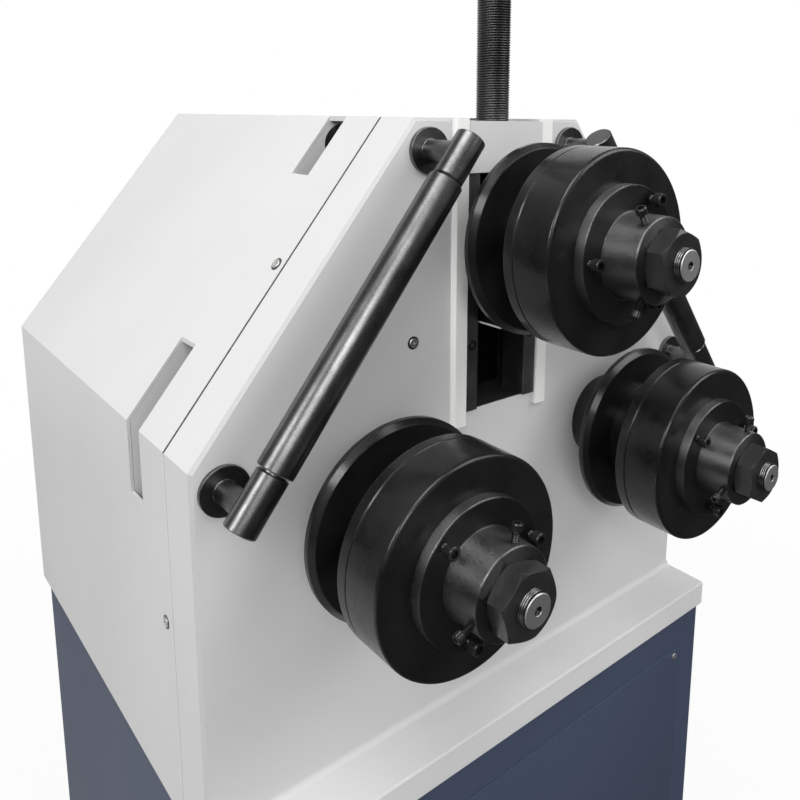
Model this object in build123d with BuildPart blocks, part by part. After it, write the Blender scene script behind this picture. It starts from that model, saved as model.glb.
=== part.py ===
from build123d import *
import os
from math import cos, hypot, radians

# Profile bending machine: three shaft ends carry roll sets in front of a thick
# bearing plate, which stands with its housing on a floor cabinet.
# X runs to the machine's right, Y from the operator to the back, Z up.
# The origin is on the floor, under the middle of the machine. Millimetres.

os.makedirs("parts", exist_ok=True)

# Clearances shared by all pieces
overrun = 1.0  # how far a cut runs past the face that it opens
seat_clearance = 0.05  # radial, between a bore and the fixed piece in it
running_clearance = 0.05  # radial, between a bore and the shaft turning in it
slide_clearance = 0.3  # between faces that slide or turn past each other
edge_break = 0.8  # small chamfer on turned edges

# Machine body
body_width = 545.4
body_height = 506.0
shoulder_height = 276.5
crown_width = 182.0
plate_thickness = 45.7
plate_edge_round = 2.5
seam_bevel = 1.6  # on the plate's back edges, where the cover meets it
housing_depth = 469.0
sheet_thickness = 2.5
housing_flange = 18.0
panel_recess = 4.0

# Cabinet and tray
cabinet_side_inset = 2.7
cabinet_height = 566.0
cabinet_overhang = 45.0
cabinet_back_inset = 14.0
cabinet_sheet = 3.0
cabinet_corner_round = 4.0
cabinet_flange = 22.0
plinth_height = 60.0
plinth_inset = 12.0
plinth_wall = 6.0
tray_side_overhang = 1.9
tray_thickness = 20.0
tray_reach = 47.6
tray_lip = 26.0
tray_edge_round = 2.0
tray_corner_round = 2.5
tray_lip_round = 1.5
tray_cove = 5.0

# Openings in the housing's shoulders, and the inner bearing plate behind them
pocket_depth = 95.0
pocket_width = 27.0
upper_pocket_length = 61.0
lower_pocket_rise = 57.5
lower_pocket_drop = 58.5
bearing_plate_thickness = 20.0
tie_rod_radius = 18.0

# Rolls and shafts; reach is the distance ahead of the front plate's face
lower_axis_inset = 135.3  # from the body's side to a lower shaft
lower_axis_height = 217.1
upper_axis_drop = 95.0  # from the body's top to the top shaft at rest
journal_radius = 25.0
seat_radius = 20.0
thread_radius = 11.3  # at the thread's root
thread_chamfer = 0.8
shoulder_radius = 30.0
collar_radius = 39.6
collar_reach = 36.0
collar_sleeve_radius = 32.0
collar_chamfer = 2.0
disc_reach = 41.0
disc_thickness = 9.0
disc_radius = 77.0
disc_chamfer = 4.0
groove_width = 32.0
groove_radius = 45.0
ring_thickness = 10.0
roll_radius = 76.4
roll_width = 34.0
roll_edge_round = 3.0
clamp_radius = 51.0
clamp_thickness = 8.5
hub_length = 28.5
hub_root_radius = 32.0
hub_nose_radius = 31.2
nut_width = 43.0
nut_thickness = 16.0
nut_chamfer = 2.0
nut_turns = {"left": 46.0, "right": 32.0, "top": 38.0}  # degrees from level to a corner
thread_relief = 5.0
thread_stand_out = 5.7
centre_hole_radius = 3.2
centre_hole_depth = 4.0

# Slot, rails, keepers and carriage
slot_width = 81.0
slot_floor_drop = 148.0  # below the top shaft at rest
header_height = 43.0
rail_width = 14.5
rail_stand_out = 4.5
rail_outer_bevel = 2.0
rail_overlap = 11.0  # below the slot
nut_block_recess = 2.0
keeper_width = 13.5
keeper_stand_out = 2.5
keeper_thickness = 27.0
boss_width = 51.0
boss_reach = 28.0
carriage_drop = 73.0  # below the top shaft
carriage_rise = 40.0  # above the top shaft

# Lead screw and handwheel
screw_radius = 14.0
screw_depth = 14.6
screw_rise = 160.0
neck_radius = 9.0
neck_length = 14.0
wheel_radius = 105.0
wheel_rim_radius = 11.0
wheel_hub_radius = 22.0
wheel_hub_length = 34.0
spoke_radius = 7.0
spoke_count = 3

# Guide bars: two posts carry a tube along each shoulder
upper_post_inset = 12.4
upper_post_drop = 24.6
lower_post_inset = 22.7
lower_post_drop = 17.0
post_flange_radius = 18.0
post_flange_thickness = 3.5
post_flange_round = 0.6
post_neck_radius = 8.5
post_flare = 0.6
bar_reach = 40.5
bar_end_radius = 11.7
bar_end_overhang = 13.3
upper_end_length = 37.0
lower_end_length = 40.0
tube_radius = 13.3
tube_gap = 1.5
spigot_radius = 9.0
spigot_length = 12.0

# Places worked out from the sizes
disc_front = disc_reach + disc_thickness
ring_back = disc_front + groove_width
roll_back = ring_back + ring_thickness
roll_front = roll_back + roll_width
clamp_front = roll_front + clamp_thickness
hub_front = clamp_front + hub_length
nut_front = hub_front + nut_thickness
shaft_reach = nut_front + thread_stand_out
front_y = (shaft_reach - housing_depth) / 2
tray_top = cabinet_height + tray_thickness
half_body = body_width / 2
half_crown = crown_width / 2
half_slot = slot_width / 2
lower_axis_x = half_body - lower_axis_inset
upper_axis_height = body_height - upper_axis_drop
slot_bottom = upper_axis_height - slot_floor_drop
slot_top = body_height - header_height
rail_bottom = slot_bottom - rail_overlap
nut_block_top = body_height - nut_block_recess
carriage_bottom = upper_axis_height - carriage_drop
carriage_top = upper_axis_height + carriage_rise
cabinet_width = body_width - 2 * cabinet_side_inset
tray_width = body_width + 2 * tray_side_overhang
upper_post_x = half_crown - upper_post_inset
upper_post_height = body_height - upper_post_drop
lower_post_x = half_body - lower_post_inset
lower_post_height = shoulder_height - lower_post_drop
bearing_plate_depth = pocket_depth + pocket_width


def place(x, reach, height):
    """Point at a distance ahead of the front plate and above the tray."""
    return (x, front_y - reach, tray_top + height)


def front_plane(reach):
    """Plane that faces the operator, with the tray's top as its zero height."""
    return Plane(place(0, reach, 0), x_dir=(1, 0, 0), z_dir=(0, -1, 0))


def axle_plane(x, height):
    """Plane for a turned profile: reach along its X, radius along its Y."""
    return Plane(place(x, 0, height), x_dir=(0, -1, 0), z_dir=(-1, 0, 0))


def axle(x, height):
    """Axis of a shaft, pointing at the operator."""
    return Axis(place(x, 0, height), (0, -1, 0))


def save(piece, name):
    """Label a finished piece and write it."""
    piece.label = name
    export_step(piece, f"parts/{name}.step")


def save_pair(left, name):
    """Write a left piece and its mirror image on the right."""
    save(left, f"{name}_left")
    with BuildPart() as right:
        mirror(left, about=Plane.YZ)
    save(right.part, f"{name}_right")


def body_outline(inset, bottom):
    """Corners of the machine body's pentagon, inset from its outer faces."""
    run = half_body - half_crown
    rise = body_height - shoulder_height
    slant = hypot(run, rise)
    side = half_body - inset
    shoulder = (side, shoulder_height + inset * (rise - slant) / run)
    crown = (half_crown + inset * (run - slant) / rise, body_height - inset)
    right = [(side, bottom), shoulder, crown]
    return right + [(-x, z) for x, z in reversed(right)]


# Cabinet: folded sheet body, recessed back panel and plinth
cabinet_front_y = front_y - cabinet_overhang
cabinet_back_y = front_y + housing_depth - cabinet_back_inset
cabinet_depth = cabinet_back_y - cabinet_front_y
cabinet_mid_y = (cabinet_front_y + cabinet_back_y) / 2
cabinet_rise = cabinet_height - plinth_height
with BuildPart() as cabinet_body:
    with BuildSketch(Plane.XY.offset(plinth_height)):
        with Locations((0, cabinet_mid_y)):
            Rectangle(cabinet_width, cabinet_depth)
    extrude(amount=cabinet_rise)
    fillet(cabinet_body.edges().filter_by(Axis.Z), cabinet_corner_round)
    with BuildSketch(Plane.XY.offset(plinth_height)):
        with Locations((0, cabinet_mid_y)):
            Rectangle(cabinet_width - 2 * cabinet_sheet, cabinet_depth - 2 * cabinet_sheet)
    extrude(amount=cabinet_rise - cabinet_sheet, mode=Mode.SUBTRACT)
    # Opening in the back wall, closed by the panel that lies inside it
    with BuildSketch(Plane.XZ.offset(-cabinet_back_y - overrun)):
        with Locations((0, plinth_height + cabinet_rise / 2)):
            Rectangle(cabinet_width - 2 * cabinet_flange, cabinet_rise - 2 * cabinet_flange)
    extrude(amount=cabinet_sheet + 2 * overrun, mode=Mode.SUBTRACT)
save(cabinet_body.part, "cabinet_body")

with BuildPart() as cabinet_back_panel:
    with BuildSketch(Plane.XZ.offset(-cabinet_back_y + cabinet_sheet)):
        with Locations((0, plinth_height + cabinet_rise / 2)):
            Rectangle(cabinet_width - cabinet_flange, cabinet_rise - cabinet_flange)
    extrude(amount=cabinet_sheet)
save(cabinet_back_panel.part, "cabinet_back_panel")

with BuildPart() as cabinet_plinth:
    with BuildSketch():
        with Locations((0, cabinet_mid_y)):
            Rectangle(cabinet_width - 2 * plinth_inset, cabinet_depth - 2 * plinth_inset)
            offset(amount=-plinth_wall, mode=Mode.SUBTRACT)
    extrude(amount=plinth_height)
    # Top flange that the cabinet's walls stand on
    with BuildSketch(Plane.XY.offset(plinth_height)):
        with Locations((0, cabinet_mid_y)):
            Rectangle(cabinet_width - 2 * cabinet_sheet, cabinet_depth - 2 * cabinet_sheet)
    extrude(amount=cabinet_sheet)
save(cabinet_plinth.part, "cabinet_plinth")

# Bed tray: plate under the front plate, with a lip and a cove
tray_profile_plane = Plane(place(0, 0, 0), x_dir=(0, -1, 0), z_dir=(-1, 0, 0))
with BuildPart() as bed_tray:
    with BuildSketch(tray_profile_plane):
        with BuildLine():
            Polyline(
                (-plate_thickness, 0),
                (-plate_thickness, -tray_thickness),
                (cabinet_overhang, -tray_thickness),
                (cabinet_overhang, -tray_lip),
                (tray_reach, -tray_lip),
                (tray_reach, 0),
                close=True,
            )
        make_face()
    extrude(amount=tray_width / 2, both=True)
    corners = bed_tray.edges().filter_by(Axis.Z).sort_by(Axis.Y)[:2]
    fillet(corners, tray_corner_round)
    front_face = bed_tray.faces().filter_by(Axis.Y).sort_by(Axis.Y)[0]
    front_edges = front_face.edges().filter_by(Axis.X).sort_by(Axis.Z)
    fillet(front_edges[0], tray_lip_round)
    front_face = bed_tray.faces().filter_by(Axis.Y).sort_by(Axis.Y)[0]
    fillet(front_face.edges().filter_by(Axis.X).sort_by(Axis.Z)[-1], tray_edge_round)
    with BuildSketch(tray_profile_plane):
        with BuildLine():
            Line((0, tray_cove), (0, 0))
            Line((0, 0), (tray_cove, 0))
            RadiusArc((tray_cove, 0), (0, tray_cove), tray_cove)
        make_face()
    extrude(amount=half_body, both=True)
save(bed_tray.part, "bed_tray")

# Front plate: thick pentagon with a slot that is open at the top
with BuildPart() as front_plate:
    with BuildSketch(front_plane(-plate_thickness)):
        with BuildLine():
            Polyline(*body_outline(0, 0), close=True)
        make_face()
        with Locations((0, (slot_bottom + body_height + overrun) / 2)):
            Rectangle(slot_width, body_height + overrun - slot_bottom, mode=Mode.SUBTRACT)
        with Locations((-lower_axis_x, lower_axis_height), (lower_axis_x, lower_axis_height)):
            Circle(collar_sleeve_radius + seat_clearance, mode=Mode.SUBTRACT)
    extrude(amount=plate_thickness)
    front_face = front_plate.faces().sort_by(Axis.Y)[0]
    rim = [e for e in front_face.outer_wire().edges() if abs(e.center().X) > half_slot]
    rim = [e for e in rim if e.center().Z > tray_top + tray_cove]
    chamfer(rim, plate_edge_round)
    back_face = front_plate.faces().sort_by(Axis.Y)[-1]
    seam = [e for e in back_face.outer_wire().edges() if abs(e.center().X) > half_slot]
    chamfer([e for e in seam if e.center().Z > tray_top + tray_cove], seam_bevel)
save(front_plate.part, "front_plate")

# Rails beside the slot
with BuildPart() as slot_rail:
    with BuildSketch(front_plane(0)):
        with Locations((-half_slot - rail_width / 2, (rail_bottom + body_height) / 2)):
            Rectangle(rail_width, body_height - rail_bottom)
    extrude(amount=rail_stand_out)
    face_edges = slot_rail.faces().sort_by(Axis.Y)[0].edges().filter_by(Axis.Z).sort_by(Axis.X)
    chamfer(face_edges[0], rail_outer_bevel)
    chamfer(face_edges[-1], edge_break)
save_pair(slot_rail.part, "slot_rail")

# Nut block that closes the slot's top, bored for the lead screw
with BuildPart() as screw_nut_block:
    with BuildSketch(front_plane(-plate_thickness)):
        with Locations((0, (slot_top + nut_block_top) / 2)):
            Rectangle(slot_width, nut_block_top - slot_top)
    extrude(amount=plate_thickness + rail_stand_out)
    with BuildSketch(Plane(place(0, -screw_depth, slot_top - overrun))):
        Circle(screw_radius + running_clearance)
    extrude(amount=nut_block_top - slot_top + 2 * overrun, mode=Mode.SUBTRACT)
save(screw_nut_block.part, "screw_nut_block")

# Keeper strips that hold the carriage in the slot
with BuildPart() as keeper:
    with BuildSketch(front_plane(keeper_stand_out)):
        with Locations((-half_slot + keeper_width / 2, (slot_bottom + slot_top) / 2)):
            Rectangle(keeper_width, slot_top - slot_bottom)
    extrude(amount=-keeper_thickness)
    chamfer(keeper.faces().sort_by(Axis.Y)[0].edges().filter_by(Axis.Z).sort_by(Axis.X)[-1], edge_break)
save_pair(keeper.part, "keeper")

# Housing cover: folded sheet with openings on both shoulders
shoulder_run = half_body - half_crown
shoulder_rise = body_height - shoulder_height
shoulder_length = hypot(shoulder_run, shoulder_rise)
upper_pocket_x = half_crown + shoulder_run * upper_pocket_length / shoulder_length
upper_pocket_z = body_height - shoulder_rise * upper_pocket_length / shoulder_length
lower_pocket_x = half_body - shoulder_run * lower_pocket_rise / shoulder_rise
cover_depth = housing_depth - plate_thickness
with BuildPart() as housing_cover:
    with BuildSketch(front_plane(-housing_depth)):
        with BuildLine():
            Polyline(*body_outline(0, -tray_thickness), close=True)
        make_face()
    extrude(amount=cover_depth)
    with BuildSketch(front_plane(-housing_depth - overrun)):
        with BuildLine():
            Polyline(*body_outline(sheet_thickness, sheet_thickness - tray_thickness), close=True)
        make_face()
    extrude(amount=cover_depth + 2 * overrun, mode=Mode.SUBTRACT)
    # The floor keeps a flange on each side
    with BuildSketch(front_plane(-housing_depth - overrun)):
        with Locations((0, -tray_thickness)):
            Rectangle(body_width - 2 * housing_flange, 3 * sheet_thickness)
    extrude(amount=cover_depth + 2 * overrun, mode=Mode.SUBTRACT)
    # Upper openings run from the crown down the shoulder, lower ones over the corner
    with BuildSketch(front_plane(-pocket_depth - pocket_width)):
        with Locations((0, (upper_pocket_z + body_height + overrun) / 2)):
            Rectangle(2 * upper_pocket_x, body_height + overrun - upper_pocket_z)
            Rectangle(crown_width, body_height + overrun - upper_pocket_z, mode=Mode.SUBTRACT)
        with Locations((0, shoulder_height + (lower_pocket_rise - lower_pocket_drop) / 2)):
            Rectangle(body_width + 2 * overrun, lower_pocket_rise + lower_pocket_drop)
            Rectangle(2 * lower_pocket_x, lower_pocket_rise + lower_pocket_drop, mode=Mode.SUBTRACT)
    extrude(amount=pocket_width, mode=Mode.SUBTRACT)
save(housing_cover.part, "housing_cover")

back_panel_inset = sheet_thickness + seat_clearance
with BuildPart() as housing_back_panel:
    with BuildSketch(front_plane(-housing_depth + panel_recess)):
        with BuildLine():
            Polyline(*body_outline(back_panel_inset, 2 * sheet_thickness - tray_thickness), close=True)
        make_face()
    extrude(amount=-sheet_thickness)
save(housing_back_panel.part, "housing_back_panel")

# Inner bearing plate, seen through the openings
inner_plate_inset = sheet_thickness + slide_clearance
with BuildPart() as inner_bearing_plate:
    with BuildSketch(front_plane(-bearing_plate_depth - bearing_plate_thickness)):
        with BuildLine():
            Polyline(*body_outline(inner_plate_inset, sheet_thickness - tray_thickness), close=True)
        make_face()
        with Locations((-lower_axis_x, lower_axis_height), (lower_axis_x, lower_axis_height)):
            Circle(journal_radius + running_clearance, mode=Mode.SUBTRACT)
    extrude(amount=bearing_plate_thickness)
save(inner_bearing_plate.part, "inner_bearing_plate")

# Tie rods between the two plates, in line with the upper guide posts
with BuildPart() as tie_rods:
    with BuildSketch(front_plane(-bearing_plate_depth)):
        with Locations((-upper_post_x, upper_post_height), (upper_post_x, upper_post_height)):
            Circle(tie_rod_radius)
    extrude(amount=bearing_plate_depth - plate_thickness)
save(tie_rods.part, "tie_rods")

# Guide bars: posts with T ends, and a tube over their spigots
bar_run = upper_post_x - lower_post_x
bar_drop = lower_post_height - upper_post_height
bar_span = hypot(bar_run, bar_drop)
bar_direction = (bar_run / bar_span, 0, bar_drop / bar_span)


def bar_plane(distance):
    """Plane square to the left bar, at a distance down from its upper post."""
    share = distance / bar_span
    x = -upper_post_x + bar_run * share
    height = upper_post_height + bar_drop * share
    return Plane(place(x, bar_reach, height), z_dir=bar_direction)


def guide_post(x, height, end_start, end_length, spigot_start, spigot_side):
    """Flanged post whose T end carries the bar's tube on a spigot."""
    flange_land = post_flange_thickness - post_flange_round
    with BuildPart() as post:
        with BuildSketch(axle_plane(x, height)):
            with BuildLine():
                Line((0, 0), (0, post_flange_radius))
                Line((0, post_flange_radius), (flange_land, post_flange_radius))
                RadiusArc(
                    (flange_land, post_flange_radius),
                    (post_flange_thickness, post_flange_radius - post_flange_round),
                    post_flange_round,
                )
                Line(
                    (post_flange_thickness, post_flange_radius - post_flange_round),
                    (post_flange_thickness, post_neck_radius + post_flare),
                )
                RadiusArc(
                    (post_flange_thickness, post_neck_radius + post_flare),
                    (post_flange_thickness + post_flare, post_neck_radius),
                    -post_flare,
                )
                Line((post_flange_thickness + post_flare, post_neck_radius), (bar_reach, post_neck_radius))
                Line((bar_reach, post_neck_radius), (bar_reach, 0))
                Line((bar_reach, 0), (0, 0))
            make_face()
        revolve(axis=axle(x, height))
        with BuildSketch(bar_plane(end_start)):
            Circle(bar_end_radius)
        extrude(amount=end_length)
        ends = post.faces().filter_by(GeomType.PLANE).filter_by(Axis((0, 0, 0), bar_direction))
        chamfer(ends.edges(), edge_break)
        with BuildSketch(bar_plane(spigot_start)):
            Circle(spigot_radius)
        extrude(amount=spigot_side * (tube_gap + spigot_length))
    return post.part


upper_end_stop = upper_end_length - bar_end_overhang
lower_end_start = bar_span + bar_end_overhang - lower_end_length
upper_post = guide_post(
    -upper_post_x, upper_post_height, -bar_end_overhang, upper_end_length, upper_end_stop, 1
)
lower_post = guide_post(
    -lower_post_x, lower_post_height, lower_end_start, lower_end_length, lower_end_start, -1
)
save_pair(upper_post, "upper_guide_post")
save_pair(lower_post, "lower_guide_post")

tube_start = upper_end_stop + tube_gap
tube_length = lower_end_start - tube_gap - tube_start
with BuildPart() as guide_tube:
    with BuildSketch(bar_plane(tube_start)):
        Circle(tube_radius)
        Circle(spigot_radius + seat_clearance, mode=Mode.SUBTRACT)
    extrude(amount=tube_length)
    chamfer(guide_tube.edges().filter_by(GeomType.CIRCLE).group_by(SortBy.RADIUS)[-1], edge_break)
save_pair(guide_tube.part, "guide_tube")

# Bearing collars: a sleeve in the front plate and a head ahead of it
with BuildPart() as bearing_collar:
    with BuildSketch(front_plane(-plate_thickness)):
        with Locations((-lower_axis_x, lower_axis_height)):
            Circle(collar_sleeve_radius)
    extrude(amount=plate_thickness)
    with BuildSketch(front_plane(0)):
        with Locations((-lower_axis_x, lower_axis_height)):
            Circle(collar_radius)
    extrude(amount=collar_reach)
    chamfer(bearing_collar.edges().sort_by(Axis.Y)[0], collar_chamfer)
    with BuildSketch(front_plane(-plate_thickness - overrun)):
        with Locations((-lower_axis_x, lower_axis_height)):
            Circle(journal_radius + running_clearance)
    extrude(amount=plate_thickness + collar_reach + 2 * overrun, mode=Mode.SUBTRACT)
save_pair(bearing_collar.part, "bearing_collar")

# Carriage: wide block behind the keepers with a boss between them
carriage_height = carriage_top - carriage_bottom
carriage_mid = (carriage_top + carriage_bottom) / 2
carriage_front_depth = keeper_thickness - keeper_stand_out + slide_clearance
with BuildPart() as carriage_block:
    with BuildSketch(front_plane(-plate_thickness)):
        with Locations((0, carriage_mid)):
            Rectangle(slot_width - 2 * slide_clearance, carriage_height)
    extrude(amount=plate_thickness - carriage_front_depth)
    with BuildSketch(front_plane(-carriage_front_depth)):
        with Locations((0, carriage_mid)):
            Rectangle(boss_width, carriage_height)
    extrude(amount=carriage_front_depth + boss_reach)
    chamfer(carriage_block.faces().sort_by(Axis.Y)[0].edges(), edge_break)
    with BuildSketch(front_plane(-plate_thickness - overrun)):
        with Locations((0, upper_axis_height)):
            Circle(seat_radius + running_clearance)
    extrude(amount=plate_thickness + boss_reach + 2 * overrun, mode=Mode.SUBTRACT)
    with BuildSketch(Plane(place(0, -screw_depth, carriage_top - neck_length))):
        Circle(neck_radius + running_clearance)
    extrude(amount=neck_length + overrun, mode=Mode.SUBTRACT)
save(carriage_block.part, "carriage_block")

# Lead screw with the neck that turns in the carriage
screw_foot = carriage_top + slide_clearance
screw_top = body_height + screw_rise + wheel_hub_length
with BuildPart() as lead_screw:
    with BuildSketch(Plane(place(0, -screw_depth, screw_foot))):
        Circle(screw_radius)
    extrude(amount=screw_top - screw_foot)
    chamfer(lead_screw.edges().sort_by(Axis.Z)[-1], thread_chamfer)
    with BuildSketch(Plane(place(0, -screw_depth, carriage_top - neck_length + slide_clearance))):
        Circle(neck_radius)
    extrude(amount=neck_length)
save(lead_screw.part, "lead_screw")

# Handwheel: round rim, hub and spokes, on the screw's upper end
wheel_z = body_height + screw_rise + wheel_hub_length / 2
wheel_plane = Plane(place(0, -screw_depth, wheel_z))
with BuildPart() as handwheel:
    with Locations(wheel_plane):
        Torus(wheel_radius - wheel_rim_radius, wheel_rim_radius)
        Cylinder(wheel_hub_radius, wheel_hub_length)
        with PolarLocations(0, spoke_count):
            Cylinder(
                spoke_radius,
                wheel_radius - wheel_rim_radius,
                rotation=(0, 90, 0),
                align=(Align.CENTER, Align.CENTER, Align.MIN),
            )
        Cylinder(screw_radius + seat_clearance, wheel_hub_length + overrun, mode=Mode.SUBTRACT)
save(handwheel.part, "handwheel")


def turned(x, height, outline):
    """Solid turned about a shaft's axis from (reach, radius) points."""
    with BuildPart() as piece:
        with BuildSketch(axle_plane(x, height)):
            with BuildLine():
                Polyline(*outline, close=True)
            make_face()
        revolve(axis=axle(x, height))
    return piece.part


def roll_set(side, x, height, journal, tail_reach, shoulder_reach):
    """Shaft with its roll set, from the back disc to the nut."""
    bore = seat_radius + seat_clearance
    thread_start = hub_front - thread_relief
    shaft = turned(x, height, [
        (tail_reach, 0),
        (tail_reach, journal),
        (shoulder_reach, journal),
        (shoulder_reach, shoulder_radius),
        (disc_reach, shoulder_radius),
        (disc_reach, seat_radius),
        (thread_start, seat_radius),
        (thread_start, thread_radius),
        (shaft_reach - thread_chamfer, thread_radius),
        (shaft_reach, thread_radius - thread_chamfer),
        (shaft_reach, centre_hole_radius),
        (shaft_reach - centre_hole_depth, 0),
    ])
    save(shaft, f"{side}_shaft")
    disc = turned(x, height, [
        (disc_reach, bore),
        (disc_reach, disc_radius - edge_break),
        (disc_reach + edge_break, disc_radius),
        (disc_front - disc_chamfer, disc_radius),
        (disc_front, disc_radius - disc_chamfer),
        (disc_front, bore),
    ])
    save(disc, f"{side}_back_disc")
    spacer = turned(x, height, [
        (disc_front, bore),
        (disc_front, groove_radius),
        (ring_back, groove_radius),
        (ring_back, bore),
    ])
    save(spacer, f"{side}_groove_spacer")
    ring = turned(x, height, [
        (ring_back, bore),
        (ring_back, roll_radius - edge_break),
        (ring_back + edge_break, roll_radius),
        (roll_back - edge_break, roll_radius),
        (roll_back, roll_radius - edge_break),
        (roll_back, bore),
    ])
    save(ring, f"{side}_roll_ring")
    with BuildPart() as roll:
        with BuildSketch(axle_plane(x, height)):
            with BuildLine():
                Polyline(
                    (roll_front, roll_radius - roll_edge_round),
                    (roll_front, bore),
                    (roll_back, bore),
                    (roll_back, roll_radius - edge_break),
                    (roll_back + edge_break, roll_radius),
                    (roll_front - roll_edge_round, roll_radius),
                )
                RadiusArc(
                    (roll_front - roll_edge_round, roll_radius),
                    (roll_front, roll_radius - roll_edge_round),
                    roll_edge_round,
                )
            make_face()
        revolve(axis=axle(x, height))
    save(roll.part, f"{side}_main_roll")
    clamp = turned(x, height, [
        (roll_front, bore),
        (roll_front, clamp_radius),
        (clamp_front - edge_break, clamp_radius),
        (clamp_front, clamp_radius - edge_break),
        (clamp_front, hub_root_radius),
        (hub_front - edge_break, hub_nose_radius),
        (hub_front, hub_nose_radius - edge_break),
        (hub_front, bore),
    ])
    save(clamp, f"{side}_clamp_collar")
    nut_corner = nut_width / 2 / cos(radians(30))
    with BuildPart() as nut:
        with BuildSketch(front_plane(hub_front)):
            with Locations((x, height)):
                RegularPolygon(nut_corner, 6, rotation=nut_turns[side])
                Circle(thread_radius + seat_clearance, mode=Mode.SUBTRACT)
        extrude(amount=nut_thickness)
        # Both faces are turned off, so each corner ends in a curve
        with BuildSketch(axle_plane(x, height)):
            with BuildLine():
                Polyline(
                    (hub_front, 0),
                    (hub_front, nut_width / 2),
                    (hub_front + nut_chamfer, nut_corner),
                    (nut_front - nut_chamfer, nut_corner),
                    (nut_front, nut_width / 2),
                    (nut_front, 0),
                    close=True,
                )
            make_face()
        revolve(axis=axle(x, height), mode=Mode.INTERSECT)
    save(nut.part, f"{side}_shaft_nut")


lower_tail = -bearing_plate_depth - bearing_plate_thickness
lower_shoulder = collar_reach + slide_clearance
roll_set("left", -lower_axis_x, lower_axis_height, journal_radius, lower_tail, lower_shoulder)
roll_set("right", lower_axis_x, lower_axis_height, journal_radius, lower_tail, lower_shoulder)
upper_shoulder = boss_reach + slide_clearance
roll_set("top", 0, upper_axis_height, seat_radius, -plate_thickness, upper_shoulder)
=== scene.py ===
"""Looks of a profile bending machine: finishes for its solids, fasteners, threads and a studio."""

from math import atan2, cos, hypot, radians, sin, tau

import bpy
from mathutils import Matrix, Vector


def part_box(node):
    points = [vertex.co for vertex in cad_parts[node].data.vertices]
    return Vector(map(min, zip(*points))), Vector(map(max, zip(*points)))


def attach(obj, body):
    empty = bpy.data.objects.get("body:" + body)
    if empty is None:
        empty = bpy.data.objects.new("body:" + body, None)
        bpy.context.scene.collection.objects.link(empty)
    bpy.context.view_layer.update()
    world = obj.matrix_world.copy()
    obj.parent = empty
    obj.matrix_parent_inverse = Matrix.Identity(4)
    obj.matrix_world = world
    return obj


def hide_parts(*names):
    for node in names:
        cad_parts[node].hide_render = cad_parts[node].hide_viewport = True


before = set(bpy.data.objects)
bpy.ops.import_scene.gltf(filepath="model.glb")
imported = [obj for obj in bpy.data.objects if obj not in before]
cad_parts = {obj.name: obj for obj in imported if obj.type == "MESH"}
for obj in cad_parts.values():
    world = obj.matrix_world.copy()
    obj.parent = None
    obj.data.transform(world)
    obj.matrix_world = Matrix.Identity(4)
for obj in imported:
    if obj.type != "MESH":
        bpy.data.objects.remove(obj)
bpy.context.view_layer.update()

bl_info = {
    "name": "Profile bending machine",
    "version": (1, 0, 0),
    "blender": (4, 5, 0),
    "location": "View3D > Sidebar > Bender",
    "description": "Finishes, fasteners, threads and studio for the profile bending machine",
    "category": "Object",
}

MM = 0.001
PLATE_LOW, PLATE_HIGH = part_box("front_plate")
FRONT_Y = PLATE_LOW.y
TRAY_TOP = PLATE_LOW.z
SIDES = ("left", "right", "top")

# Turned faces on the clamp collars and shaft ends, as the solids have them
FLANGE_THICKNESS = 8.5 * MM
HUB_RADIUS = 31.4 * MM
HUB_EDGE = 33.0 * MM
RIM_DEPTH = 0.3 * MM
CENTRE_HOLE_RADIUS = 3.0 * MM
END_FACE_RADIUS = 11.1 * MM
# How far a shaded edge is rounded, on collars and nuts and on the rolls
BROKEN_EDGE = 0.9 * MM
ROUNDED_EDGE = 2.0 * MM
# Overlap that takes a mask past the face that it covers
PAST = 1.0 * MM

# Shoulder of the front plate and cover, in millimetres: where its slope starts, and its rise and run
SHOULDER_HEIGHT = 276.0
SHOULDER_RISE = 229.5
SHOULDER_RUN = 181.7
SEAM_HALF = 0.9 * MM
# Part of the inner bearing plate that shows in the slot, painted dark as shade, in millimetres from the
# middle and the tray
BEHIND_SLOT_HALF = 165.0
BEHIND_SLOT_HEIGHT = 430.0
EDGE_HIGHLIGHT_DEPTH = 1.6 * MM

# Screws in millimetres from the middle, behind the front plate's face, and above the tray
SLOPE_SCREW = (178.0, 56.7, 396.2)
SIDE_SCREW = (272.7, 58.8, 140.7)
PLATE_SCREW = (93.0, 0.0, 332.4)
# Housing back screws in millimetres from the middle and above the tray
BACK_SCREWS = ((255, 10), (255, 140), (255, 262), (168, 378), (82, 487))
KEEPER_SCREW_RISE = 57 * MM
FRONT_PANEL_INSET = 9.3 * MM
BACK_PANEL_INSET = 17 * MM
# Degrees from level to the first flange screw and the first hub screw, as the collars stand
SCREW_TURNS = {"left": (16.0, 80.0), "right": (22.0, 82.0), "top": (62.0, 0.0)}
SCREWS_ROUND = 3

# Lamps: direction from the machine, distance and size in metres, and power in watts
LIT_POINT = (0, 0, 0.8)
SOFTBOXES = (
    ("top_softbox", (-0.32, -0.24, 0.92), 2.6, 1.4, 36),
    ("overhead_softbox", (0.48, -0.6, 0.64), 2.0, 1.3, 18),
    ("left_softbox", (-0.42, -0.82, 0.39), 4.0, 1.0, 18),
    ("side_softbox", (-0.88, -0.1, 0.46), 2.6, 0.8, 17),
    ("edge_lamp", (-0.55, -0.65, 0.52), 3.0, 0.7, 16),
)
FLOOR_RADIUS = 2.6
AMBIENT = 0.38
DIM_ROOM = 0.05
DARK_FLOOR = 0.06
BACKDROP_WAY = (0.3, 0.95, 0.0)
UNLIT_WAY = (0.62, -0.78, 0.0)

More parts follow.
